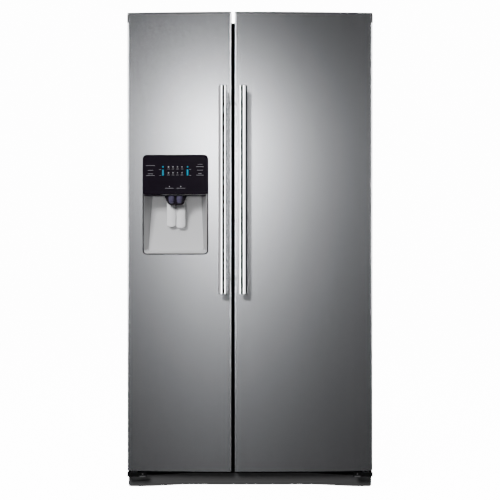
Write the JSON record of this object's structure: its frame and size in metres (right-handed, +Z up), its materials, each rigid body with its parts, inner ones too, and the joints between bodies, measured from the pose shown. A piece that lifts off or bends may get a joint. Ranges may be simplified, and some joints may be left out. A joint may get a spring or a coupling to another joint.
{
  "type": "side by side refrigerator",
  "caption": "Tall refrigerator with a freezer door and a fridge door side by side, bar handles, and an ice and water dispenser in the freezer door.",
  "frame": {"origin": "on the floor, in the middle of the whole object's footprint, handles included", "axes": "+Z up, +Y towards the rear, +X towards the fridge side, which is the right as seen from the front"},
  "size_m": [0.912, 0.89, 1.778],
  "materials": {
    "brushed_steel": "fine vertical brushing",
    "polished_steel": "polished",
    "case_paint": "satin, lightly textured",
    "black_paint": "satin",
    "zinc_steel": "zinc plated",
    "copper_tube": "drawn tube",
    "white_plastic": "semi gloss",
    "clear_plastic": "clear",
    "shelf_glass": "clear",
    "black_plastic": "glossy",
    "charcoal_plastic": "matte",
    "silver_plastic": "metallic paint",
    "seal_rubber": "matte"
  },
  "bodies": {
    "cabinet": {"left_side_panel": "case_paint", "right_side_panel": "case_paint", "top_panel": "case_paint", "rear_panel": "case_paint", "center_mullion": "case_paint", "base_plate": "zinc_steel", "kick_plate": "charcoal_plastic", "machine_room_cover": "charcoal_plastic", "power_cord_gland": "black_plastic", "compressor": "black_paint", "condenser_coil": "copper_tube", "left_leveling_leg": "charcoal_plastic", "right_leveling_leg": "charcoal_plastic", "freezer_liner": "white_plastic", "fridge_liner": "white_plastic", "freezer_top_hinge": "zinc_steel", "fridge_top_hinge": "zinc_steel", "freezer_bottom_hinge": "zinc_steel", "fridge_bottom_hinge": "zinc_steel", "freezer_hinge_cover": "charcoal_plastic", "fridge_hinge_cover": "charcoal_plastic", "fridge_shelf_upper": "shelf_glass", "fridge_shelf_lower": "shelf_glass", "crisper_cover": "shelf_glass", "fridge_duct_cover": "white_plastic", "freezer_shelf_upper": "shelf_glass", "freezer_shelf_lower": "shelf_glass", "evaporator_cover": "white_plastic", "evaporator_coil": "zinc_steel", "ice_maker": "white_plastic", "ice_bucket": "clear_plastic"},
    "freezer_door": {"freezer_door_skin": "brushed_steel", "freezer_door_top_cap": "charcoal_plastic", "freezer_door_liner": "white_plastic", "freezer_door_gasket": "seal_rubber", "freezer_handle": "polished_steel", "freezer_door_bin_lower": "clear_plastic", "freezer_door_bin_upper": "clear_plastic", "dispenser_housing": "silver_plastic", "dispenser_panel": "black_plastic", "dispenser_spout": "black_plastic"},
    "fridge_door": {"fridge_door_skin": "brushed_steel", "fridge_door_top_cap": "charcoal_plastic", "fridge_door_liner": "white_plastic", "fridge_door_gasket": "seal_rubber", "fridge_handle": "polished_steel", "fridge_door_bin_lower": "clear_plastic", "fridge_door_bin_upper": "clear_plastic", "dairy_bin": "clear_plastic"},
    "ice_paddle": {"ice_lever": "silver_plastic"},
    "water_paddle": {"water_lever": "silver_plastic"},
    "dairy_cover": {"dairy_flap": "clear_plastic"},
    "crisper_upper": {"crisper_drawer_upper": "clear_plastic"},
    "crisper_lower": {"crisper_drawer_lower": "clear_plastic"},
    "freezer_basket": {"freezer_drawer": "clear_plastic"},
    "condenser_blower": {"condenser_fan": "charcoal_plastic"},
    "evaporator_blower": {"evaporator_fan": "charcoal_plastic"},
    "auger": {"ice_auger": "zinc_steel"},
    "left_roller": {"left_rear_roller": "charcoal_plastic"},
    "right_roller": {"right_rear_roller": "charcoal_plastic"}
  },
  "joints": [
    {"name": "freezer_door_hinge", "type": "hinge", "parent": "cabinet", "child": "freezer_door", "pos_m": [-0.434, -0.333, 0.9], "axis": [0, 0, -1], "range_deg": [0, 130]},
    {"name": "fridge_door_hinge", "type": "hinge", "parent": "cabinet", "child": "fridge_door", "pos_m": [0.434, -0.333, 0.9], "axis": [0, 0, 1], "range_deg": [0, 130]},
    {"name": "ice_lever_pivot", "type": "hinge", "parent": "freezer_door", "child": "ice_paddle", "pos_m": [-0.2582, -0.325, 1.083], "axis": [1, 0, 0], "range_deg": [0, 8], "stiffness_Nm_per_rad": 0.3, "springref_deg": -11.46},
    {"name": "water_lever_pivot", "type": "hinge", "parent": "freezer_door", "child": "water_paddle", "pos_m": [-0.2938, -0.325, 1.083], "axis": [1, 0, 0], "range_deg": [0, 8], "stiffness_Nm_per_rad": 0.3, "springref_deg": -11.46},
    {"name": "dairy_flap_hinge", "type": "hinge", "parent": "fridge_door", "child": "dairy_cover", "pos_m": [0.18745, -0.2197, 1.536], "axis": [1, 0, 0], "range_deg": [0, 80]},
    {"name": "crisper_upper_slide", "type": "slide", "parent": "cabinet", "child": "crisper_upper", "axis": [0, -1, 0], "range_m": [0, 0.08]},
    {"name": "crisper_lower_slide", "type": "slide", "parent": "cabinet", "child": "crisper_lower", "axis": [0, -1, 0], "range_m": [0, 0.08]},
    {"name": "freezer_drawer_slide", "type": "slide", "parent": "cabinet", "child": "freezer_basket", "axis": [0, -1, 0], "range_m": [0, 0.08]},
    {"name": "condenser_fan_spin", "type": "hinge", "parent": "cabinet", "child": "condenser_blower", "pos_m": [-0.025, 0.315, 0.175], "axis": [1, 0, 0], "continuous": true},
    {"name": "evaporator_fan_spin", "type": "hinge", "parent": "cabinet", "child": "evaporator_blower", "pos_m": [-0.24505, 0.344, 1.08], "axis": [0, 1, 0], "continuous": true},
    {"name": "ice_auger_spin", "type": "hinge", "parent": "cabinet", "child": "auger", "pos_m": [-0.24505, 0, 1.268], "axis": [0, 1, 0], "continuous": true},
    {"name": "left_roller_spin", "type": "hinge", "parent": "cabinet", "child": "left_roller", "pos_m": [-0.4, 0.36, 0.022], "axis": [1, 0, 0], "continuous": true},
    {"name": "right_roller_spin", "type": "hinge", "parent": "cabinet", "child": "right_roller", "pos_m": [0.4, 0.36, 0.022], "axis": [1, 0, 0], "continuous": true}
  ]
}
